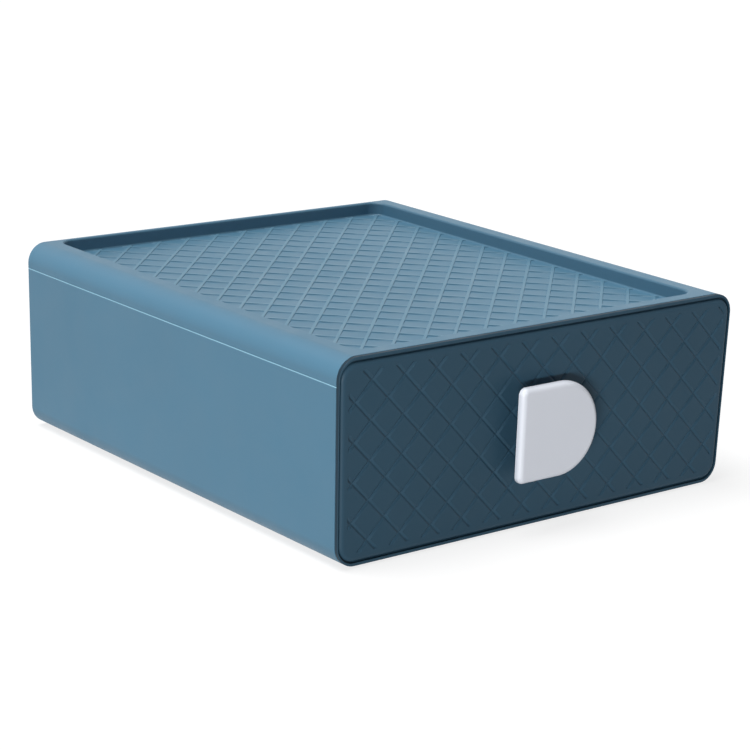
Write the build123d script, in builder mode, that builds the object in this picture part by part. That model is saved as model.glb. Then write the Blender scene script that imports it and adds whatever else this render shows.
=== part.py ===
from build123d import *
from math import atan, ceil, degrees, sqrt
import os

# Casing, outside
case_width = 250.0  # widest place, at the seam below the shoulders
side_draft = 2.3  # how far each side leans in from the seam to the underside
case_depth = 266.0
case_height = 99.0
corner_radius = 10.2  # the four long edges
back_edge_chamfer = 0.7
wall = 2.4

# Seam between the casing body and the top cover
seam_depth = 13.0  # below the top
seam_step = 0.2  # the cover stands in from the body by this much
tongue_thickness = 1.1
tongue_length = 3.2
tongue_clearance = 0.15

# Sunken tray in the top cover
side_rim = 17.0
front_rim = 7.6
tray_depth = 7.0
tray_wall_lean = 1.0  # the walls come in by this much from the rim to the floor
tray_corner_radius = 8.0
rim_edge_chamfer = 0.6

# Diamond ribs on the tray floor and diamond grooves in the front panel
diamond_pitch = 13.4  # square to the lines
tray_rib_width = 2.0
tray_rib_height = 0.5
tray_rib_margin = 2.0  # plain border along the foot of the tray walls
panel_groove_width = 2.0
panel_groove_depth = 0.5
panel_groove_margin = 3.8  # plain border along the panel edge
panel_groove_shift = -1.9  # the pattern sits a little to the left of the middle

# Runners on the casing floor
runner_width = 4.0
runner_spacing = 170.0
runner_end_margin = 14.0
slide_clearance = 0.2  # between a runner and the drawer

# Stops that keep the drawer in
stop_spacing = 150.0
stop_width = 26.0
stop_thickness = 2.4
stop_height = 5.0
stop_setback = 46.0  # from the front of the casing
stop_overlap = 3.0  # how far an ear reaches up behind a stop
stop_clearance = 1.6

# Feet
foot_radius = 7.0
foot_drop = 1.0  # below the casing
foot_pocket_depth = 1.0
foot_pocket_clearance = 0.2
foot_side_inset = 24.0
foot_end_inset = 22.0

# Drawer tray
drawer_clearance = 1.3  # to the inside of the casing, all round
drawer_wall = 2.0
drawer_headroom = 7.0  # under the top cover's tray
drawer_back_clearance = 3.0
drawer_edge_chamfer = 3.0  # round the back wall

# Drawer front
front_gap = 0.2  # to the end of the casing
front_thickness = 2.3
front_edge_chamfer = 0.4
lip_side_width = 0.5
lip_end_width = 1.5  # along the top and the bottom
panel_gap = 0.9  # the dark line between the lip and the panel
panel_recess = 1.5
plate_back_depth = 1.6  # how far the plate reaches into the casing
panel_thickness = 1.9  # a little proud of the lip
panel_edge_chamfer = 1.3

# Handle
handle_width = 49.5
handle_height = 47.0
handle_thickness = 4.0
handle_reach = 12.0  # from the lip of the drawer front to the handle's face
handle_corner_radius = 3.6
handle_face_chamfer = 1.0
handle_back_chamfer = 0.8
stem_width = 17.0
stem_height = 27.0
stem_corner_radius = 5.0

# Screws that hold the handle
screw_spacing = 15.0
screw_radius = 1.45
screw_hole_radius = 1.7
screw_pilot_radius = 1.5
screw_engagement = 6.0
screw_end_clearance = 1.0
screw_head_radius = 3.0
screw_head_height = 2.0

# Heights
case_bottom = foot_drop
case_top = case_bottom + case_height
case_middle = (case_bottom + case_top) / 2
seam_height = case_top - seam_depth
floor_height = case_bottom + wall
tray_floor_height = case_top - tray_depth
tray_under_height = tray_floor_height - wall
drawer_top = tray_under_height - drawer_headroom
screw_heights = (case_middle - screw_spacing / 2, case_middle + screw_spacing / 2)

# Places from front to back, with the whole part centred on zero
overall_depth = case_depth + front_gap + front_thickness + handle_reach
case_back = overall_depth / 2
case_front = case_back - case_depth
plate_back = case_front - front_gap
lip_face = plate_back - front_thickness
panel_seat = lip_face + panel_recess
panel_face = panel_seat - panel_thickness
handle_face = lip_face - handle_reach
handle_back = handle_face + handle_thickness
drawer_front_end = plate_back + plate_back_depth
drawer_back_end = case_back - wall - drawer_back_clearance

# Sunken tray in plan
tray_width = case_width - 2 * side_rim
tray_front = case_front + front_rim
tray_back = case_back - wall
tray_length = tray_back - tray_front
tray_middle = (tray_front + tray_back) / 2

# Sideways lean of the casing's walls
base_width = case_width - 2 * side_draft
side_lean = side_draft / (seam_height - case_bottom)


def half_width(height):
    return base_width / 2 + side_lean * (height - case_bottom)


def case_outline(place, side_inset=0, end_inset=0):
    # Front view of the casing with its long edges rounded, drawn at a place along the depth
    low = case_bottom + end_inset
    high = case_top - end_inset
    radius = corner_radius - (side_inset + end_inset) / 2
    with BuildSketch(Plane.XZ.offset(-place)) as outline:
        with BuildLine():
            Polyline(
                (-half_width(low) + side_inset, low),
                (half_width(low) - side_inset, low),
                (half_width(high) - side_inset, high),
                (-half_width(high) + side_inset, high),
                close=True,
            )
        make_face()
        fillet(outline.vertices(), radius)
    return outline.sketch


def drawer_outline(place):
    # Front view of the drawer's tray, which follows the inside of the casing
    inset = wall + drawer_clearance
    with BuildSketch(Plane.XZ.offset(-place)) as outline:
        add(case_outline(place, inset, inset))
        with Locations((0, drawer_top)):
            Rectangle(case_width, case_height, align=(Align.CENTER, Align.MAX), mode=Mode.INTERSECT)
    return outline.sketch


def tray_outline(height, inset=0):
    # Plan of the sunken tray with its corners rounded
    with BuildSketch(Plane.XY.offset(height)) as outline:
        with Locations((0, tray_middle)):
            RectangleRounded(tray_width - 2 * inset, tray_length - 2 * inset, tray_corner_radius - inset)
    return outline.sketch


def diamond_lines(plane, middle, reach, line_width, crossing_in_middle, area):
    # Two crossing sets of lines at 45 degrees, kept inside an area
    diagonal = diamond_pitch * sqrt(2)
    count = 2 * ceil(reach / 2 / diagonal) + int(crossing_in_middle)
    with BuildSketch(plane) as lines:
        with Locations(middle):
            with GridLocations(diagonal, diagonal, count, 1):
                Rectangle(reach, line_width, rotation=45)
                Rectangle(reach, line_width, rotation=-45)
        add(area, mode=Mode.INTERSECT)
    return lines.sketch


def screw_circles(place, radius, heights):
    # Handle screws seen from the front
    with BuildSketch(Plane.XZ.offset(-place)) as circles:
        for height in heights:
            with Locations((0, height)):
                Circle(radius)
    return circles.sketch


os.makedirs("parts", exist_ok=True)

# Casing body: bottom, sides and back
with BuildPart() as casing_body:
    extrude(case_outline(case_front), amount=-case_depth)
    chamfer(casing_body.faces().sort_by(Axis.Y)[-1].edges(), back_edge_chamfer)
    extrude(case_outline(case_front, wall, wall), amount=wall - case_depth, mode=Mode.SUBTRACT)
    split(bisect_by=Plane.XY.offset(seam_height), keep=Keep.BOTTOM)

    # Rebate for the cover's tongue
    rebate_skin = wall - tongue_thickness - tongue_clearance
    with Locations((0, case_front, seam_height)):
        Box(
            case_width - 2 * rebate_skin,
            case_depth - rebate_skin,
            tongue_length + tongue_clearance,
            align=(Align.CENTER, Align.MIN, Align.MAX),
            mode=Mode.SUBTRACT,
        )

    # Runners under the drawer
    runner_length = case_depth - wall - 2 * runner_end_margin
    with Locations((0, case_front + runner_end_margin, floor_height)):
        with GridLocations(runner_spacing, runner_length, 2, 1):
            Box(
                runner_width,
                runner_length,
                drawer_clearance - slide_clearance,
                align=(Align.CENTER, Align.MIN, Align.MIN),
            )

    # Pockets for the feet
    foot_spread = base_width - 2 * foot_side_inset
    foot_stride = case_depth - 2 * foot_end_inset
    with Locations((0, case_back - case_depth / 2, case_bottom)):
        with GridLocations(foot_spread, foot_stride, 2, 2):
            Cylinder(
                foot_radius + foot_pocket_clearance,
                foot_pocket_depth,
                align=(Align.CENTER, Align.CENTER, Align.MIN),
                mode=Mode.SUBTRACT,
            )
casing_body.part.label = "casing_body"
export_step(casing_body.part, "parts/casing_body.step")

# Top cover: shoulders, rim and sunken tray
with BuildPart() as top_cover:
    extrude(case_outline(case_front, seam_step), amount=seam_step - case_depth)
    chamfer(top_cover.faces().sort_by(Axis.Y)[-1].edges(), back_edge_chamfer)
    extrude(case_outline(case_front + wall, wall, wall), amount=2 * wall - case_depth, mode=Mode.SUBTRACT)
    split(bisect_by=Plane.XY.offset(seam_height), keep=Keep.TOP)

    # Tongue that drops inside the body's walls
    tongue_inset = rebate_skin + tongue_clearance
    with BuildSketch(Plane.XY.offset(seam_height)):
        with Locations((0, case_front)):
            Rectangle(
                case_width - 2 * tongue_inset,
                case_depth - tongue_inset,
                align=(Align.CENTER, Align.MIN),
            )
            Rectangle(
                case_width - 2 * wall,
                case_depth - wall,
                align=(Align.CENTER, Align.MIN),
                mode=Mode.SUBTRACT,
            )
    extrude(amount=-tongue_length)

    # Pan of the tray
    with BuildSketch(Plane.XY.offset(tray_under_height)):
        with Locations((0, tray_middle - wall / 2)):
            Rectangle(tray_width + 2 * wall, tray_length + wall)
    extrude(amount=tray_depth + wall)
    tray_taper = degrees(atan(tray_wall_lean / tray_depth))
    extrude(tray_outline(case_top), amount=-tray_depth, taper=tray_taper, mode=Mode.SUBTRACT)
    chamfer(top_cover.faces().sort_by(Axis.Z)[-1].inner_wires()[0].edges(), rim_edge_chamfer)
    tray_ribs = diamond_lines(
        Plane.XY.offset(tray_floor_height),
        (0, tray_middle),
        tray_width + tray_length,
        tray_rib_width,
        True,
        tray_outline(tray_floor_height, tray_wall_lean + tray_rib_margin),
    )
    extrude(tray_ribs, amount=tray_rib_height)

    # Stops for the drawer
    with Locations((0, case_front + stop_setback, tray_under_height)):
        with GridLocations(stop_spacing, stop_thickness, 2, 1):
            Box(
                stop_width,
                stop_thickness,
                stop_height,
                align=(Align.CENTER, Align.MIN, Align.MAX),
            )
top_cover.part.label = "top_cover"
export_step(top_cover.part, "parts/top_cover.step")

# Feet: four round pads set in the underside
foot_side = foot_spread / 2
foot_front = case_front + foot_end_inset
foot_back = case_back - foot_end_inset
foot_places = {
    "foot_front_left": (-foot_side, foot_front),
    "foot_front_right": (foot_side, foot_front),
    "foot_back_left": (-foot_side, foot_back),
    "foot_back_right": (foot_side, foot_back),
}
for foot_name, foot_place in foot_places.items():
    with BuildPart() as foot:
        with BuildSketch():
            with Locations(foot_place):
                Circle(foot_radius)
        extrude(amount=foot_drop + foot_pocket_depth)
    foot.part.label = foot_name
    export_step(foot.part, "parts/" + foot_name + ".step")

# Drawer tray
with BuildPart() as drawer_tray:
    extrude(drawer_outline(drawer_front_end), amount=drawer_front_end - drawer_back_end)
    chamfer(drawer_tray.faces().sort_by(Axis.Y)[-1].edges().sort_by(Axis.Z)[:-1], drawer_edge_chamfer)
    offset(amount=-drawer_wall, openings=drawer_tray.faces().sort_by(Axis.Z)[-1])

    # Ears that catch the stops
    ear_height = drawer_headroom - stop_height + stop_overlap
    with Locations((0, drawer_back_end, drawer_top)):
        with GridLocations(stop_spacing, drawer_wall, 2, 1):
            Box(
                stop_width,
                drawer_wall,
                ear_height,
                align=(Align.CENTER, Align.MAX, Align.MIN),
            )
    tray_holes = screw_circles(drawer_front_end, screw_hole_radius, screw_heights)
    extrude(tray_holes, amount=-drawer_wall, mode=Mode.SUBTRACT)
drawer_tray.part.label = "drawer_tray"
export_step(drawer_tray.part, "parts/drawer_tray.step")

# Drawer front: plate with a raised lip
with BuildPart() as drawer_front:
    extrude(case_outline(plate_back), amount=front_thickness)
    chamfer(drawer_front.faces().sort_by(Axis.Y)[0].edges(), front_edge_chamfer)
    extrude(drawer_outline(plate_back), amount=-plate_back_depth)
    extrude(case_outline(panel_seat, lip_side_width, lip_end_width), amount=panel_recess, mode=Mode.SUBTRACT)
    plate_holes = screw_circles(panel_seat, screw_hole_radius, screw_heights)
    extrude(plate_holes, amount=panel_seat - drawer_front_end, mode=Mode.SUBTRACT)
drawer_front.part.label = "drawer_front"
export_step(drawer_front.part, "parts/drawer_front.step")

# Front panel with the diamond grooves
panel_side_inset = lip_side_width + panel_gap
panel_end_inset = lip_end_width + panel_gap
with BuildPart() as front_panel:
    extrude(case_outline(panel_seat, panel_side_inset, panel_end_inset), amount=panel_thickness)
    chamfer(front_panel.faces().sort_by(Axis.Y)[0].edges(), panel_edge_chamfer)
    panel_area = case_outline(
        panel_face,
        panel_side_inset + panel_groove_margin,
        panel_end_inset + panel_groove_margin,
    )
    panel_grooves = diamond_lines(
        Plane.XZ.offset(-panel_face),
        (panel_groove_shift, case_middle),
        case_width + case_height,
        panel_groove_width,
        False,
        panel_area,
    )
    extrude(panel_grooves, amount=-panel_groove_depth, mode=Mode.SUBTRACT)
    panel_holes = screw_circles(panel_seat, screw_hole_radius, screw_heights)
    extrude(panel_holes, amount=panel_thickness, mode=Mode.SUBTRACT)
front_panel.part.label = "front_panel"
export_step(front_panel.part, "parts/front_panel.step")

# Handle: D-shaped plate on a stem
with BuildPart() as handle:
    handle_radius = handle_height / 2
    handle_plane = Plane((0, handle_back, case_middle), x_dir=(1, 0, 0), z_dir=(0, -1, 0))
    with BuildSketch(handle_plane) as plate:
        with Locations((-handle_width / 2, 0)):
            Rectangle(handle_width - handle_radius, handle_height, align=(Align.MIN, Align.CENTER))
        with Locations((handle_width / 2 - handle_radius, 0)):
            Circle(handle_radius)
        fillet(plate.vertices().group_by(Axis.X)[0], handle_corner_radius)
    extrude(amount=handle_thickness)
    chamfer(handle.faces().sort_by(Axis.Y)[0].edges(), handle_face_chamfer)
    chamfer(handle.faces().sort_by(Axis.Y)[-1].edges(), handle_back_chamfer)
    with BuildSketch(handle_plane):
        RectangleRounded(stem_width, stem_height, stem_corner_radius)
    extrude(amount=handle_back - panel_face)
    pilot_holes = screw_circles(panel_face, screw_pilot_radius, screw_heights)
    extrude(pilot_holes, amount=screw_engagement + screw_end_clearance, mode=Mode.SUBTRACT)
handle.part.label = "handle"
export_step(handle.part, "parts/handle.step")

# Handle screws, with their heads inside the drawer
screw_seat = drawer_front_end + drawer_wall
screw_tip = panel_face - screw_engagement
for screw_name, screw_height in zip(("handle_screw_lower", "handle_screw_upper"), screw_heights):
    with BuildPart() as handle_screw:
        extrude(screw_circles(screw_seat, screw_radius, [screw_height]), amount=screw_seat - screw_tip)
        extrude(screw_circles(screw_seat, screw_head_radius, [screw_height]), amount=-screw_head_height)
    handle_screw.part.label = screw_name
    export_step(handle_screw.part, "parts/" + screw_name + ".step")

drawer_travel = drawer_back_end - drawer_wall - (case_front + stop_setback + stop_thickness) - stop_clearance
print("overall depth", round(overall_depth, 2), "drawer travel", round(drawer_travel, 2))
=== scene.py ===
from math import atan, cos, hypot, pi, radians, sin, sqrt

import bmesh
import bpy
from mathutils import Matrix, Vector


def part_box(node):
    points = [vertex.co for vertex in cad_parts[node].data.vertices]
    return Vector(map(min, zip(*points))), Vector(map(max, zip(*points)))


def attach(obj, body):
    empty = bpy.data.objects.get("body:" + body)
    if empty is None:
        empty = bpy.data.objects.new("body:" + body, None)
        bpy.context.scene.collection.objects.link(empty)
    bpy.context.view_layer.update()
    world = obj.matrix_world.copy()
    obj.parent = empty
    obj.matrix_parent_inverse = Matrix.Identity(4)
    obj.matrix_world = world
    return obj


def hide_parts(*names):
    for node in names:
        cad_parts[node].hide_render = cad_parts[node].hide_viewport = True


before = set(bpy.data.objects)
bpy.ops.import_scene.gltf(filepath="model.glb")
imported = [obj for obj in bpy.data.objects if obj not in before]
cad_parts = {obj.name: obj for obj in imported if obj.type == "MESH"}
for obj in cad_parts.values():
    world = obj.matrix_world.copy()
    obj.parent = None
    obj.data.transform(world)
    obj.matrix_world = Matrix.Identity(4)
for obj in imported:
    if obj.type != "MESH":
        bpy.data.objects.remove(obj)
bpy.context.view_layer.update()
mm = 0.001
print("frame loaded,", len(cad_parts), "nodes")

# main places, read from the frame
bodyLow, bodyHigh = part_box("casing_body")
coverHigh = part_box("top_cover")[1]
trayLow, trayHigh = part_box("drawer_tray")
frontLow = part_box("drawer_front")[0]
panelLow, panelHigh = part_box("front_panel")
handleLow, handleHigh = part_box("handle")

# differences that count as none, in metres
weldGap = 1e-7
sliver = 1e-8
touch = 1e-6
flatShare = 1e-9  # the same for parts of a direction

# steps in a quarter turn, by the kind of rounding
turnSteps = {"crease": 2, "small": 3, "edge": 4, "rim": 5, "base": 6, "wide": 8, "corner": 12}

casing = {
    "sideDraft": 2.3 * mm,  # each side leans in this much from the seam to the underside
    "cornerRadius": 10.2 * mm,  # the four long edges
    "wall": 2.4 * mm,
    "frontRound": 0.3 * mm,
    "backRound": 0.7 * mm,
    "seamRound": 0.5 * mm,
    "seamInnerRound": 0.05 * mm,
    "seamHighlightShare": 0.9,  # of the seam's rounding that takes the painted highlight
    "runnerX": 85 * mm,
    "runnerHalf": 2 * mm,
    "runnerRise": 1.1 * mm,
    "runnerRoot": 0.5 * mm,  # runs into the floor under it
    "runnerRound": 0.4 * mm,
    "runnerMargin": 14 * mm,
}

caseTop, caseBottom, seamZ = coverHigh.z, bodyLow.z, bodyHigh.z
caseFront, caseBack, caseHalf = bodyLow.y, bodyHigh.y, bodyHigh.x
caseMiddle = (caseTop + caseBottom) / 2
lean = casing["sideDraft"] / (seamZ - caseBottom)
tilt = atan(lean)


def halfWidth(z):  # of the casing at a height, without its roundings
    return caseHalf - lean * (seamZ - z)


def quarter(kind):  # angles of a quarter turn
    steps = turnSteps[kind]
    return [pi / 2 * i / steps for i in range(steps + 1)]


def arc(cx, cy, radius, start, stop, steps):
    angles = [start + (stop - start) * i / steps for i in range(steps + 1)]
    return [(cx + radius * cos(a), cy + radius * sin(a)) for a in angles]


def boxReach(x, z, halfX, halfZ):  # from the middle of a box to its side, towards x and z
    length = hypot(x, z)
    return min(halfX / max(abs(x) / length, flatShare), halfZ / max(abs(z) / length, flatShare))


def sectionLoop(sideInset, endInset):  # front view of the casing, as a closed loop
    low, high = caseBottom + endInset, caseTop - endInset
    radius = casing["cornerRadius"] - (sideInset + endInset) / 2
    grow = radius * sqrt(1 + lean * lean)
    steps = turnSteps["corner"]
    right = arc(halfWidth(low + radius) - sideInset - grow, low + radius, radius, -pi / 2, -tilt, steps)
    right += arc(halfWidth(high - radius) - sideInset - grow, high - radius, radius, -tilt, pi / 2, steps)
    return right + [(-x, z) for x, z in reversed(right)]


# rounded rectangle from above, with more points along its back where wanted
def planLoop(half, yLow, yHigh, backRadius, frontRadius, kind="corner", backStops=()):
    steps = turnSteps[kind]
    loop = arc(half - backRadius, yHigh - backRadius, backRadius, 0, pi / 2, steps)
    loop += [(x, yHigh) for x in backStops]
    loop += arc(backRadius - half, yHigh - backRadius, backRadius, pi / 2, pi, steps)
    loop += arc(frontRadius - half, yLow + frontRadius, frontRadius, pi, 1.5 * pi, steps)
    loop += arc(half - frontRadius, yLow + frontRadius, frontRadius, 1.5 * pi, 2 * pi, steps)
    return loop


def bridge(bm, a, b, closed=True):  # band of faces between two rows of points
    count = len(a)
    for i in range(count if closed else count - 1):
        j = (i + 1) % count
        bm.faces.new((a[i], a[j], b[j], b[i]))


def loft(bm, rings, closed=True):  # skin over rings of points, capped at both ends
    rows = [[bm.verts.new(p) for p in ring] for ring in rings]
    for a, b in zip(rows, rows[1:]):
        bridge(bm, a, b, closed)
    caps = [bm.faces.new(row) for row in (rows[0], rows[-1])]
    return rows, caps


def slab(bm, low, high, edge):  # box with all its edges rounded
    middle, half = (low[0] + high[0]) / 2, (high[0] - low[0]) / 2
    rings = []
    for z, side in ((low[2], 1), (high[2], -1)):
        for a in quarter("small")[::side]:
            inset = edge * (1 - sin(a))
            plan = planLoop(half - inset, low[1] + inset, high[1] - inset, edge, edge, "small")
            rings.append([Vector((x + middle, y, z + side * edge * (1 - cos(a)))) for x, y in plan])
    loft(bm, rings)


def lathe(bm, profile, place, alongY=False, steps=48):  # profile is (radius, distance along the axis)
    rings = []
    for radius, along in profile:
        ring = []
        for i in range(steps):
            a = 2 * pi * i / steps
            u, v = radius * cos(a), radius * sin(a)
            ring.append(Vector(place) + Vector((u, along, v) if alongY else (u, v, along)))
        rings.append(ring)
    return loft(bm, rings)


shading = {"sharpAngle": 38, "evenWeight": 80}


# the last argument gives how much of the finish's edge colour a point takes: painted highlight on the
# seam, painted sheen on the ribs, painted shade on the plate's sides
def makePiece(name, bm, material, body, nodes, sharpAngle=shading["sharpAngle"], paintedLightAt=None):
    bmesh.ops.remove_doubles(bm, verts=bm.verts, dist=weldGap)
    bmesh.ops.dissolve_degenerate(bm, edges=bm.edges, dist=sliver)
    bmesh.ops.recalc_face_normals(bm, faces=bm.faces)
    mesh = bpy.data.meshes.new(name)
    bm.to_mesh(mesh)
    bm.free()
    tone = mesh.attributes.new("paintedLightAndShade", "FLOAT", "POINT")
    tone.data.foreach_set("value", [paintedLightAt(v.co) if paintedLightAt else 0.0 for v in mesh.vertices])
    mesh.shade_smooth()
    mesh.set_sharp_from_angle(angle=radians(sharpAngle))
    piece = bpy.data.objects.new(name, mesh)
    bpy.context.scene.collection.objects.link(piece)
    mesh.materials.append(material)
    weighted = piece.modifiers.new("evenShading", "WEIGHTED_NORMAL")
    weighted.keep_sharp = True
    weighted.weight = shading["evenWeight"]
    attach(piece, body)
    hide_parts(*nodes)
    print("piece", name, len(mesh.polygons), "faces")


diamonds = {
    "pitch": 13.4 * mm,  # square to the lines
    # offsets are in pitches
    "ribs": {"halfFoot": 1.0 * mm, "halfCrest": 0.72 * mm, "height": 0.48 * mm, "offset": 0},
    "grooves": {"halfFoot": 1.15 * mm, "halfCrest": 0.12 * mm, "height": -0.7 * mm, "offset": 0.5},
}


def addDiamonds(bm, faces, origin, across, up, reach, style):
    # raises or lowers two crossing sets of lines in a flat field, which fade out at its border
    plain, marked = 0, 1  # the field is marked by its material number for as long as this takes
    for f in faces:
        f.material_index = marked
    normal = across.cross(up)
    pitch, offset = diamonds["pitch"], style["offset"]
    slants = ((across + up).normalized(), (across - up).normalized())
    count = int(reach / pitch) + 1
    for slant in slants:
        for i in range(-count, count + 1):
            for side in (-style["halfFoot"], -style["halfCrest"], style["halfCrest"], style["halfFoot"]):
                field = [f for f in bm.faces if f.material_index == marked]
                parts = {e for f in field for e in f.edges} | {v for f in field for v in f.verts}
                spot = origin + slant * ((i + offset) * pitch + side)
                cut = field + list(parts)
                bmesh.ops.bisect_plane(bm, geom=cut, dist=sliver, plane_co=spot, plane_no=slant)
    for v in {v for f in bm.faces if f.material_index == marked for v in f.verts}:
        if any(f.material_index == plain for f in v.link_faces):
            continue
        for slant in slants:
            along = (v.co - origin).dot(slant) / pitch - offset
            if abs(along - round(along)) * pitch < style["halfCrest"] + touch:
                v.co += normal * style["height"]
                break
    for f in bm.faces:
        f.material_index = plain


# moulded plastics and the small metal and rubber pieces
finishes = {
    "casingPlastic": {
        "colour": (0.083, 0.208, 0.312),
        # the edge colour is painted highlight on the seam and painted sheen on the tray's ribs
        "edge": (0.3, 0.55, 0.68),
        "shade": 0.94,
        "roughness": 0.45,
        "specular": 0.35,
        "grain": 0.05,
    },
    "frontPlastic": {
        "colour": (0.027, 0.07, 0.109),
        # the edge colour is painted shade on the plate's sides
        "edge": (0.009, 0.031, 0.051),
        "shade": 0.9,
        "roughness": 0.5,
        "specular": 0.18,
        "grain": 0.07,
    },
    "trayPlastic": {
        "colour": (0.021, 0.072, 0.118),
        "edge": (0.05, 0.11, 0.16),
        "shade": 0.92,
        "roughness": 0.45,
        "specular": 0.3,
        "grain": 0.05,
    },
    "handlePlastic": {
        "colour": (0.81, 0.845, 0.925),
        "edge": (0.9, 0.92, 0.95),
        "shade": 0.97,
        "roughness": 0.4,
        "specular": 0.4,
        "grain": 0.03,
    },
    "footRubber": {
        "colour": (0.03, 0.031, 0.034),
        "edge": (0.06, 0.06, 0.062),
        "shade": 0.8,
        "roughness": 0.8,
        "specular": 0.3,
        "grain": 0.2,
    },
    "screwSteel": {
        "colour": (0.56, 0.57, 0.58),
        "edge": (0.7, 0.7, 0.71),
        "shade": 0.8,
        "roughness": 0.35,
        "specular": 0.5,
        "grain": 0.1,
    },
}

# what all the finishes share
moulding = {
    "shadeScale": 14,
    "shadeDetail": 3,
    "dullScale": 55,
    "dullDetail": 4,
    "dullFrom": 0.3,
    "dullTo": 0.7,
    "dullSpread": 0.05,
    "grainScale": 1600,
    "grainDetail": 2,
    "grainHeight": 0.2 * mm,
}


def mouldedFinish(name, metallic=0.0):
    look = finishes[name]
    material = bpy.data.materials.new(name)
    material.use_nodes = True
    nodes, links = material.node_tree.nodes, material.node_tree.links
    shader = nodes["Principled BSDF"]
    shader.inputs["Specular IOR Level"].default_value = look["specular"]
    shader.inputs["Metallic"].default_value = metallic
    place = nodes.new("ShaderNodeTexCoord")

    def noise(scale, detail):
        node = nodes.new("ShaderNodeTexNoise")
        node.inputs["Scale"].default_value = scale
        node.inputs["Detail"].default_value = detail
        links.new(place.outputs["Object"], node.inputs["Vector"])
        return node.outputs["Fac"]

    tone = nodes.new("ShaderNodeMix")  # slow change of shade in the moulding
    tone.data_type = "RGBA"
    tone.inputs["A"].default_value = (*[c * look["shade"] for c in look["colour"]], 1)
    tone.inputs["B"].default_value = (*[min(c * (2 - look["shade"]), 1) for c in look["colour"]], 1)
    links.new(noise(moulding["shadeScale"], moulding["shadeDetail"]), tone.inputs["Factor"])
    paintedLightAndShade = nodes.new("ShaderNodeAttribute")  # painted highlight, sheen and shade: edges coloured paler or darker than the rest
    paintedLightAndShade.attribute_name = "paintedLightAndShade"
    paintedEdgeMix = nodes.new("ShaderNodeMix")
    paintedEdgeMix.data_type = "RGBA"
    paintedEdgeMix.inputs["B"].default_value = (*look["edge"], 1)
    links.new(paintedLightAndShade.outputs["Fac"], paintedEdgeMix.inputs["Factor"])
    links.new(tone.outputs["Result"], paintedEdgeMix.inputs["A"])
    links.new(paintedEdgeMix.outputs["Result"], shader.inputs["Base Color"])

    dull = nodes.new("ShaderNodeMapRange")  # handled places are a little smoother
    dull.inputs["From Min"].default_value = moulding["dullFrom"]
    dull.inputs["From Max"].default_value = moulding["dullTo"]
    dull.inputs["To Min"].default_value = look["roughness"] - moulding["dullSpread"]
    dull.inputs["To Max"].default_value = look["roughness"] + moulding["dullSpread"]
    links.new(noise(moulding["dullScale"], moulding["dullDetail"]), dull.inputs["Value"])
    links.new(dull.outputs["Result"], shader.inputs["Roughness"])

    grain = nodes.new("ShaderNodeBump")  # fine spark-eroded mould texture
    grain.inputs["Strength"].default_value = look["grain"]
    grain.inputs["Distance"].default_value = moulding["grainHeight"]
    links.new(noise(moulding["grainScale"], moulding["grainDetail"]), grain.inputs["Height"])
    links.new(grain.outputs["Normal"], shader.inputs["Normal"])
    return material


casingPlastic = mouldedFinish("casingPlastic")
frontPlastic = mouldedFinish("frontPlastic")
trayPlastic = mouldedFinish("trayPlastic")
handlePlastic = mouldedFinish("handlePlastic")
footRubber = mouldedFinish("footRubber")
screwSteel = mouldedFinish("screwSteel", metallic=1.0)
print("materials made")


def casingBody():
    wall, frontRound, backRound = casing["wall"], casing["frontRound"], casing["backRound"]
    bm = bmesh.new()

    def uLoop(inset, y, edge):  # up-open section from the left seam round to the right one
        radius = casing["cornerRadius"] - inset
        low = caseBottom + inset
        grow = radius * sqrt(1 + lean * lean)
        side = halfWidth(seamZ) - inset
        steps = turnSteps["corner"]
        right = arc(halfWidth(low + radius) - inset - grow, low + radius, radius, -pi / 2, -tilt, steps)
        right += [(side - lean * edge, seamZ - edge)]
        right += [(side - edge * (1 - cos(a)), seamZ - edge * (1 - sin(a))) for a in quarter("small")[1:]]
        loop = [(-x, z) for x, z in reversed(right)] + right
        return [Vector((x, y, z)) for x, z in loop]

    # from the inside of the back wall, round the front edge, to the outside of the back
    path = [(wall, caseBack - wall)]
    for a in quarter("small"):
        path.append((wall - frontRound * (1 - cos(a)), caseFront + frontRound * (1 - sin(a))))
    path += [(frontRound * (1 - sin(a)), caseFront + frontRound * (1 - cos(a))) for a in quarter("small")]
    path += [(backRound * (1 - cos(a)), caseBack - backRound * (1 - sin(a))) for a in quarter("edge")]
    middle = wall / 2
    outerEdge, innerEdge = casing["seamRound"], casing["seamInnerRound"]
    rings = [uLoop(depth, y, outerEdge if depth < middle else innerEdge) for depth, y in path]
    rows = loft(bm, rings, closed=False)[0]
    left = [row[0] for row in rows]
    right = [row[-1] for row in rows]
    bm.faces.new(left + list(reversed(right)))
    floor, half, margin = caseBottom + wall, casing["runnerHalf"], casing["runnerMargin"]
    for x in (-casing["runnerX"], casing["runnerX"]):
        low = (x - half, caseFront + margin, floor - casing["runnerRoot"])
        high = (x + half, caseBack - wall - margin, floor + casing["runnerRise"])
        slab(bm, low, high, casing["runnerRound"])

    def paintedSeamHighlight(spot):  # painted highlight: the rounded upper edge is coloured pale where it catches the light
        return float(spot.z > seamZ - casing["seamRound"] * casing["seamHighlightShare"])

    makePiece("casingBody", bm, casingPlastic, "casing", ["casing_body"], paintedLightAt=paintedSeamHighlight)


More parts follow.
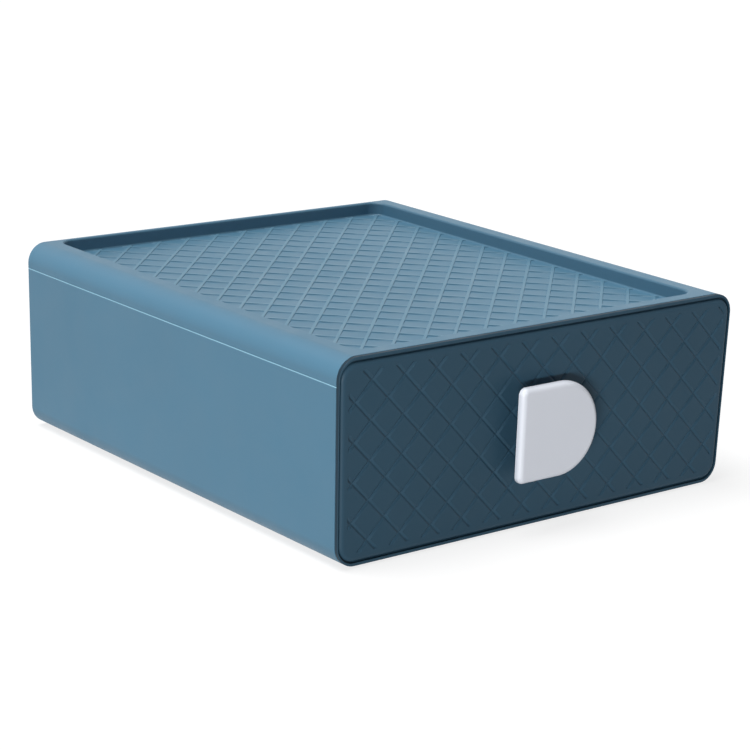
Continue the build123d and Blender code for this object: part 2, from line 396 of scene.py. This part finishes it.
cover = {
    "seamStep": 0.2 * mm,  # stands in from the body at the seam
    "sideRim": 17 * mm,
    "frontRim": 7.6 * mm,
    "trayDepth": 7 * mm,
    "wallLean": 1 * mm,
    "trayCorner": 8 * mm,
    "baseRadius": 0.9 * mm,
    "rimRound": 1.1 * mm,
    "endRound": 0.25 * mm,
    "lowerRound": 0.06 * mm,  # sharp edge over the seam
    "shoulderSteps": 20,
    "ribMargin": 0.2 * mm,
    "ribFade": 0.4 * mm,
    "ribSheen": 0.14,  # share of the edge colour on the ribs' crests, a painted sheen
    "crestBand": 0.01 * mm,
    "stopX": 75 * mm,
    "stopHalf": 13 * mm,
    "stopThickness": 2.4 * mm,
    "stopSetback": 46 * mm,
    "stopHeight": 5 * mm,
    "stopRoot": 0.8 * mm,  # runs into the pan over it
    "stopRound": 0.3 * mm,
}


def topCover():
    bm = bmesh.new()
    wall, radius = casing["wall"], casing["cornerRadius"]
    half = caseHalf - cover["sideRim"]
    front, back = caseFront + cover["frontRim"], caseBack - wall
    depth, wallLean = cover["trayDepth"], cover["wallLean"]
    floorZ = caseTop - depth
    base, rim, end, corner = cover["baseRadius"], cover["rimRound"], cover["endRound"], cover["trayCorner"]

    def ring(halfX, yLow, yHigh, bend, z):
        return [Vector((x, y, z)) for x, y in planLoop(halfX, yLow, yHigh, bend, bend)]

    def trayRing(inset, z):
        return ring(half - inset, front + inset, back - inset, corner - inset, z)

    # the tray's floor, its rounded base and its leaning wall up to the rim
    foot = wallLean + base + cover["ribMargin"]
    rings = [trayRing(foot + cover["ribFade"], floorZ), trayRing(foot, floorZ)]
    for a in quarter("base"):
        rise = base * (1 - cos(a))
        rings.append(trayRing(wallLean * (1 - rise / depth) + base * (1 - sin(a)), floorZ + rise))
    for a in quarter("rim"):
        rise = depth - rim * (1 - sin(a))
        rings.append(trayRing(wallLean * (1 - rise / depth) - rim * (1 - cos(a)), floorZ + rise))

    # the shoulders down to the seam
    shoulderX = halfWidth(caseTop - radius) - cover["seamStep"] - radius * sqrt(1 + lean * lean)
    turn = pi / 2 + tilt
    steps = cover["shoulderSteps"]
    for i in range(steps + 1):
        a = turn * i / steps
        z = caseTop - radius * (1 - cos(a))
        rise = max(z - (caseTop - end), 0)
        inset = end - sqrt(max(end * end - rise * rise, 0))
        rings.append(ring(shoulderX + radius * sin(a), caseFront + inset, caseBack - inset, end, z))
    side = halfWidth(seamZ) - cover["seamStep"]
    seam = cover["lowerRound"]
    for a in quarter("crease"):
        inset = seam * (1 - cos(a))
        z = seamZ + seam * (1 - sin(a))
        rings.append(ring(side - inset, caseFront + inset, caseBack - inset, end, z))
    underZ = floorZ - wall
    for z in (seamZ, underZ):  # hollow underside
        rings.append(ring(side - wall, caseFront + wall, caseBack - wall, end, z))
    rows = loft(bm, rings)[0]

    field = {f for v in rows[0] for f in v.link_faces}
    origin = Vector((0, (front + back) / 2, floorZ))
    reach = (half + (back - front) / 2) / sqrt(2)
    addDiamonds(bm, field, origin, Vector((1, 0, 0)), Vector((0, 1, 0)), reach, diamonds["ribs"])
    for x in (-cover["stopX"], cover["stopX"]):
        y = caseFront + cover["stopSetback"]
        low = (x - cover["stopHalf"], y, underZ - cover["stopHeight"])
        high = (x + cover["stopHalf"], y + cover["stopThickness"], underZ + cover["stopRoot"])
        slab(bm, low, high, cover["stopRound"])

    def paintedRibSheen(spot):  # painted sheen: the ribs' crests are coloured paler, as their glossy tops would shine
        return cover["ribSheen"] * (abs(spot.z - floorZ - diamonds["ribs"]["height"]) < cover["crestBand"])

    makePiece("topCover", bm, casingPlastic, "casing", ["top_cover"], paintedLightAt=paintedRibSheen)


feet = {
    "edge": 0.35 * mm,
    "middle": 0.4 * mm,  # radius of the flat in the middle
    "ringRadius": 4.2 * mm,
    "ringWidth": 0.5 * mm,
    "ringDepth": 0.25 * mm,
}


def footPads():
    edge, middle, groove = feet["edge"], feet["middle"], feet["ringDepth"]
    ringR, ringW = feet["ringRadius"], feet["ringWidth"]
    for spot in ("front_left", "front_right", "back_left", "back_right"):
        low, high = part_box("foot_" + spot)
        radius = (high.x - low.x) / 2
        profile = [(middle, low.z), (ringR - ringW, low.z), (ringR - ringW / 2, low.z + groove)]
        profile += [(ringR + ringW / 2, low.z + groove), (ringR + ringW, low.z)]
        profile += [(radius - edge * (1 - sin(a)), low.z + edge * (1 - cos(a))) for a in quarter("small")]
        profile += [(radius, high.z), (middle, high.z)]
        bm = bmesh.new()
        lathe(bm, profile, ((low.x + high.x) / 2, (low.y + high.y) / 2, 0))
        sideName = "".join(part.capitalize() for part in spot.split("_"))
        makePiece("footPad" + sideName, bm, footRubber, "casing", ["foot_" + spot])


drawer = {
    "inset": 3.7 * mm,  # from the outside of the casing
    "wall": 2 * mm,
    "earHeight": 5 * mm,
    "earInner": 62 * mm,
    "earOuter": 88 * mm,
    "earSlope": 0.4 * mm,
    "backRadius": 4 * mm,
    "frontRadius": 1 * mm,
    "frontRadiusLeast": 0.3 * mm,  # inside the walls
    "rimRound": 0.7 * mm,
}


def drawerTray():
    bm = bmesh.new()
    wall, rim = drawer["wall"], drawer["rimRound"]
    bottom, top = trayLow.z, trayHigh.z - drawer["earHeight"]
    sideRadius = casing["cornerRadius"] - drawer["inset"]
    inner, outer, slope = drawer["earInner"], drawer["earOuter"], drawer["earSlope"]
    stops = [outer + slope, outer, inner, inner - slope]
    stops += [-x for x in reversed(stops)]

    def ring(inset, z, lift=0):  # lift raises the ears over the back wall
        rise = z - bottom - inset
        low = sideRadius - inset
        sideIn = low - sqrt(max(low * low - max(low - rise, 0) ** 2, 0))
        back = drawer["backRadius"] - inset
        backIn = back - sqrt(max(back * back - max(back - rise, 0) ** 2, 0))
        half = halfWidth(z) - drawer["inset"] - inset - sideIn
        frontRadius = max(drawer["frontRadius"] - inset, drawer["frontRadiusLeast"])
        backY = trayHigh.y - inset - backIn
        loop = planLoop(half, trayLow.y + inset, backY, back, frontRadius, "wide", stops)
        points = []
        for x, y in loop:
            ear = lift if y > 0 and inner - touch < abs(x) < outer + touch else 0
            points.append(Vector((x, y, z + ear)))
        return points

    heights = [sideRadius * (1 - cos(a)) for a in quarter("wide")]
    rings = [ring(0, bottom + h) for h in heights]
    lift = drawer["earHeight"]
    rings += [ring(rim * (1 - cos(a)), top - rim * (1 - sin(a)), lift) for a in quarter("small")]
    rings += [ring(wall - rim * (1 - sin(a)), top - rim * (1 - cos(a)), lift) for a in quarter("small")]
    rings += [ring(wall, bottom + wall + (sideRadius - wall) * (1 - sin(a))) for a in quarter("wide")]
    loft(bm, rings)
    makePiece("drawerTray", bm, trayPlastic, "drawer", ["drawer_tray"])


front = {
    "gap": 0.2 * mm,  # to the end of the casing
    "lipSide": 0.5 * mm,
    "lipEnd": 1.5 * mm,  # along the top and the bottom
    "backRound": 0.6 * mm,
    "outerRound": 0.32 * mm,
    "innerRound": 0.15 * mm,
    "plateShadeShare": 0.6,  # of the outer rounding, from where the plate's sides take painted shade
    "backingSide": 1 * mm,  # the thicker middle stands in from the tray's sides
    "backingFoot": 4 * mm,
    "backingRoot": 0.3 * mm,
    "backingRound": 0.5 * mm,
    "panelGap": 0.9 * mm,
    "panelRound": 2.3 * mm,  # wide and shallow, so the edge is cushioned
    "panelRoundDepth": 1.6 * mm,
    "grooveMargin": 3.8 * mm,
    "grooveFade": 0.8 * mm,
    "grooveShift": -1.9 * mm,
    "sharpAngle": 24,  # keeps the grooves' edges crisp
}


def sectionRing(y, sideInset, endInset):
    return [Vector((x, y, z)) for x, z in sectionLoop(sideInset, endInset)]


def drawerFront():
    bm = bmesh.new()
    lipFace, seat, back = frontLow.y, panelHigh.y, caseFront - front["gap"]
    edge, outer, inner = front["backRound"], front["outerRound"], front["innerRound"]
    lipSide, lipEnd = front["lipSide"], front["lipEnd"]
    rings = []
    for a in quarter("small"):
        inset = edge * (1 - sin(a))
        rings.append(sectionRing(back - edge * (1 - cos(a)), inset, inset))
    for a in quarter("rim"):
        inset = outer * (1 - cos(a))
        rings.append(sectionRing(lipFace + outer * (1 - sin(a)), inset, inset))
    for a in quarter("small"):
        inset = inner * (1 - sin(a))
        rings.append(sectionRing(lipFace + inner * (1 - cos(a)), lipSide - inset, lipEnd - inset))
    rings.append(sectionRing(seat, lipSide, lipEnd))
    loft(bm, rings)
    # the thicker middle that the tray is fixed to
    low = (trayLow.x + front["backingSide"], back - front["backingRoot"], trayLow.z + front["backingFoot"])
    high = (trayHigh.x - front["backingSide"], trayLow.y, trayHigh.z - drawer["earHeight"])
    slab(bm, low, high, front["backingRound"])

    def paintedPlateShade(spot):  # painted shade: all behind the lip's face is coloured dark, for the shaded sides of the plate
        return float(spot.y > lipFace + outer * front["plateShadeShare"])

    makePiece("drawerFront", bm, frontPlastic, "drawer", ["drawer_front"], paintedLightAt=paintedPlateShade)


def frontPanel():
    bm = bmesh.new()
    face, seat, edge, drop = panelLow.y, panelHigh.y, front["panelRound"], front["panelRoundDepth"]
    side, end = front["lipSide"] + front["panelGap"], front["lipEnd"] + front["panelGap"]
    rings = [sectionRing(seat, side, end)]
    for a in quarter("base"):
        inset = edge * (1 - cos(a))
        rings.append(sectionRing(face + drop * (1 - sin(a)), side + inset, end + inset))
    for inset in (front["grooveMargin"], front["grooveMargin"] + front["grooveFade"]):
        rings.append(sectionRing(face, side + inset, end + inset))
    rows = loft(bm, rings)[0]
    field = {f for v in rows[-1] for f in v.link_faces}
    origin = Vector((front["grooveShift"], face, caseMiddle))
    reach = (caseHalf + (caseTop - caseBottom) / 2) / sqrt(2)
    addDiamonds(bm, field, origin, Vector((1, 0, 0)), Vector((0, 0, 1)), reach, diamonds["grooves"])
    makePiece("frontPanel", bm, frontPlastic, "drawer", ["front_panel"], front["sharpAngle"])


pull = {
    "thickness": 4 * mm,
    "corner": 3.6 * mm,
    "roundSteps": 48,  # along the round side
    "faceRound": 2.8 * mm,  # wide and soft
    "faceRoundDepth": 2.4 * mm,
    "backRound": 0.6 * mm,
    "stemHalfX": 8.5 * mm,
    "stemHalfZ": 13.5 * mm,
    "stemCorner": 5 * mm,
    "stemFoot": 0.8 * mm,  # flare where the stem meets the panel
}


def handlePull():
    bm = bmesh.new()
    halfX, halfZ = (handleHigh.x - handleLow.x) / 2, (handleHigh.z - handleLow.z) / 2
    middle = (handleHigh.z + handleLow.z) / 2
    faceY, footY = handleLow.y, handleHigh.y
    backY = faceY + pull["thickness"]

    def outline(inset):  # straight on the left, round on the right
        corner, steps = pull["corner"], turnSteps["corner"]
        loop = arc(corner - halfX, halfZ - corner, corner - inset, pi / 2, pi, steps)
        loop += arc(corner - halfX, corner - halfZ, corner - inset, pi, 1.5 * pi, steps)
        loop += arc(halfX - halfZ, 0, halfZ - inset, -pi / 2, pi / 2, pull["roundSteps"])
        return loop

    def stemPoint(x, z, grow):  # where a ray from the middle leaves the stem's rounded rectangle
        sx, sz, r = pull["stemHalfX"] + grow, pull["stemHalfZ"] + grow, pull["stemCorner"] + grow
        length = hypot(x, z)
        dx, dz = abs(x) / length, abs(z) / length
        reach = boxReach(x, z, sx, sz)
        if reach * dx > sx - r and reach * dz > sz - r:
            along = dx * (sx - r) + dz * (sz - r)
            reach = along + sqrt(max(along * along - (sx - r) ** 2 - (sz - r) ** 2 + r * r, 0))
        return (reach * x / length, reach * z / length)

    def ring(y, loop):
        return [Vector((x, y, z + middle)) for x, z in loop]

    rim = outline(0)
    foot, backRound = pull["stemFoot"], pull["backRound"]
    faceRound, drop = pull["faceRound"], pull["faceRoundDepth"]
    rings = []
    for a in quarter("edge"):
        grow = foot * (1 - sin(a))
        rings.append(ring(footY - foot * (1 - cos(a)), [stemPoint(x, z, grow) for x, z in rim]))
    rings.append(ring(backY, [stemPoint(x, z, 0) for x, z in rim]))
    for a in quarter("edge"):
        rings.append(ring(backY - backRound * (1 - cos(a)), outline(backRound * (1 - sin(a)))))
    for a in quarter("wide"):
        rings.append(ring(faceY + drop * (1 - sin(a)), outline(faceRound * (1 - cos(a)))))
    loft(bm, rings)
    makePiece("handlePull", bm, handlePlastic, "drawer", ["handle"])


screws = {
    "shank": 1.45 * mm,
    "tip": 0.5 * mm,
    "tipLength": 1.4 * mm,
    "head": 3 * mm,
    "headHeight": 2 * mm,
    "dome": 0.8 * mm,
    "crossArm": 1.7 * mm,
    "crossHalf": 0.4 * mm,
    "crossDepth": 0.9 * mm,
    "crossTaper": 0.7,  # share of its width at the bottom of the cross
}


def handleScrews():
    head, dome, shank, tip = screws["head"], screws["dome"], screws["shank"], screws["tip"]
    arm, thin, taper = screws["crossArm"], screws["crossHalf"], screws["crossTaper"]
    for spot in ("lower", "upper"):
        low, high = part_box("handle_screw_" + spot)
        seat = high.y - screws["headHeight"]
        midX, midZ = (low.x + high.x) / 2, (low.z + high.z) / 2
        profile = [(tip, low.y), (shank, low.y + screws["tipLength"]), (shank, seat), (head, seat)]
        profile += [(head - dome * (1 - cos(a)), high.y - dome * (1 - sin(a))) for a in quarter("edge")]
        bm = bmesh.new()
        rows, caps = lathe(bm, profile, (midX, 0, midZ), alongY=True)
        bm.faces.remove(caps[1])
        rim = rows[-1]
        crossTop, crossLow = [], []
        for v in rim:  # cross-shaped drive, seen from inside the drawer
            x, z = v.co.x - midX, v.co.z - midZ
            length = hypot(x, z)
            reach = max(boxReach(x, z, arm, thin), boxReach(x, z, thin, arm))
            crossX, crossZ = reach * x / length, reach * z / length
            crossTop.append(bm.verts.new((midX + crossX, high.y, midZ + crossZ)))
            deep = high.y - screws["crossDepth"]
            crossLow.append(bm.verts.new((midX + crossX * taper, deep, midZ + crossZ * taper)))
        bridge(bm, rim, crossTop)
        bridge(bm, crossTop, crossLow)
        bm.faces.new(crossLow)
        name = "handleScrew" + spot.capitalize()
        makePiece(name, bm, screwSteel, "drawer", ["handle_screw_" + spot])


casingBody()
topCover()
footPads()
drawerTray()
drawerFront()
frontPanel()
handlePull()
handleScrews()
print("pieces made")

studio = {
    "floorColour": (0.28, 0.28, 0.28),
    "floorRoughness": 0.9,
    "floorSize": 12.0,
    "floorLift": 0.8,  # only as the camera and reflections see the floor
    "ambient": 0.05,
    "key": {"azimuth": -118, "elevation": 71, "strength": 2.72, "angle": 38, "distance": 2},
    # a long strip low down, under the rim's level, so the walls of the tray on top stay dark
    "fill": {"place": (-3.12, -2.796, 0.048), "width": 1.5, "height": 0.094, "power": 122},
}


def direction(azimuth, elevation):  # azimuth 0 is the front, and the left is below 0
    az, el = radians(azimuth), radians(elevation)
    return Vector((sin(az) * cos(el), -cos(az) * cos(el), sin(el)))


def seenDirectly(nodes, links):  # one for what the camera, reflections and clear materials see
    rays = nodes.new("ShaderNodeLightPath")
    total = rays.outputs["Is Camera Ray"]
    for kind in ("Is Glossy Ray", "Is Transmission Ray"):
        either = nodes.new("ShaderNodeMath")
        either.operation = "MAXIMUM"
        links.new(total, either.inputs[0])
        links.new(rays.outputs[kind], either.inputs[1])
        total = either.outputs["Value"]
    return total


def hangLamp(light, place, towards):  # the lamp shines against the direction towards it
    holder = bpy.data.objects.new(light.name, light)
    holder.rotation_euler = towards.to_track_quat("Z", "Y").to_euler()
    holder.location = place
    holder.visible_camera = False
    bpy.context.scene.collection.objects.link(holder)


def studioSet():
    bpy.ops.mesh.primitive_plane_add(size=studio["floorSize"], location=(0, 0, 0))
    floor = bpy.context.object
    floor.name = "studioFloor"
    paint = bpy.data.materials.new("floorPaint")
    paint.use_nodes = True
    nodes, links = paint.node_tree.nodes, paint.node_tree.links
    shader = nodes["Principled BSDF"]
    shader.inputs["Roughness"].default_value = studio["floorRoughness"]
    shader.inputs["Specular IOR Level"].default_value = 0.0
    shader.inputs["Base Color"].default_value = (*studio["floorColour"], 1)
    shader.inputs["Emission Color"].default_value = (1, 1, 1, 1)
    lift = nodes.new("ShaderNodeMath")
    lift.operation = "MULTIPLY"
    lift.inputs[1].default_value = studio["floorLift"]
    links.new(seenDirectly(nodes, links), lift.inputs[0])
    links.new(lift.outputs["Value"], shader.inputs["Emission Strength"])
    floor.data.materials.append(paint)

    world = bpy.data.worlds.new("studioWorld")
    bpy.context.scene.world = world
    world.use_nodes = True
    nodes, links = world.node_tree.nodes, world.node_tree.links
    background = nodes["Background"]
    background.inputs["Color"].default_value = (1, 1, 1, 1)
    level = nodes.new("ShaderNodeMapRange")
    level.inputs["To Min"].default_value = studio["ambient"]
    level.inputs["To Max"].default_value = 1.0
    links.new(seenDirectly(nodes, links), level.inputs["Value"])
    links.new(level.outputs["Result"], background.inputs["Strength"])

    keyLook = studio["key"]
    key = bpy.data.lights.new("keyLamp", "SUN")
    key.energy = keyLook["strength"]
    key.angle = radians(keyLook["angle"])
    towards = direction(keyLook["azimuth"], keyLook["elevation"])
    hangLamp(key, towards * keyLook["distance"], towards)

    fillLook = studio["fill"]
    fill = bpy.data.lights.new("fillLamp", "AREA")
    fill.shape = "RECTANGLE"
    fill.size, fill.size_y = fillLook["width"], fillLook["height"]
    fill.energy = fillLook["power"]
    place = Vector(fillLook["place"])
    hangLamp(fill, place, Vector((place.x, place.y, 0)))
    bpy.context.scene.view_settings.view_transform = "Standard"
    print("studio made")


view = {
    "azimuth": -39.1,  # seen from the front left
    "elevation": 15.36,
    "roll": 2.14,
    "distance": 1.2247,
    "target": (0, 0, 50 * mm),
    "lens": 113.3,
    "sensor": 36,
    "shift": (-0.002, -0.0151),
    "farClip": 50,
}


def photoCamera():
    camera = bpy.data.cameras.new("photoCamera")
    camera.lens = view["lens"]
    camera.sensor_width = view["sensor"]
    camera.shift_x, camera.shift_y = view["shift"]
    camera.clip_end = view["farClip"]
    back = direction(view["azimuth"], view["elevation"])
    right = (-back).cross(Vector((0, 0, 1))).normalized()
    up = right.cross(-back)
    turn = Matrix((right, up, back)).transposed().to_4x4() @ Matrix.Rotation(radians(view["roll"]), 4, "Z")
    holder = bpy.data.objects.new("photoCamera", camera)
    holder.matrix_world = Matrix.Translation(Vector(view["target"]) + back * view["distance"]) @ turn
    bpy.context.scene.collection.objects.link(holder)
    bpy.context.scene.camera = holder
    print("camera set")


studioSet()
photoCamera()
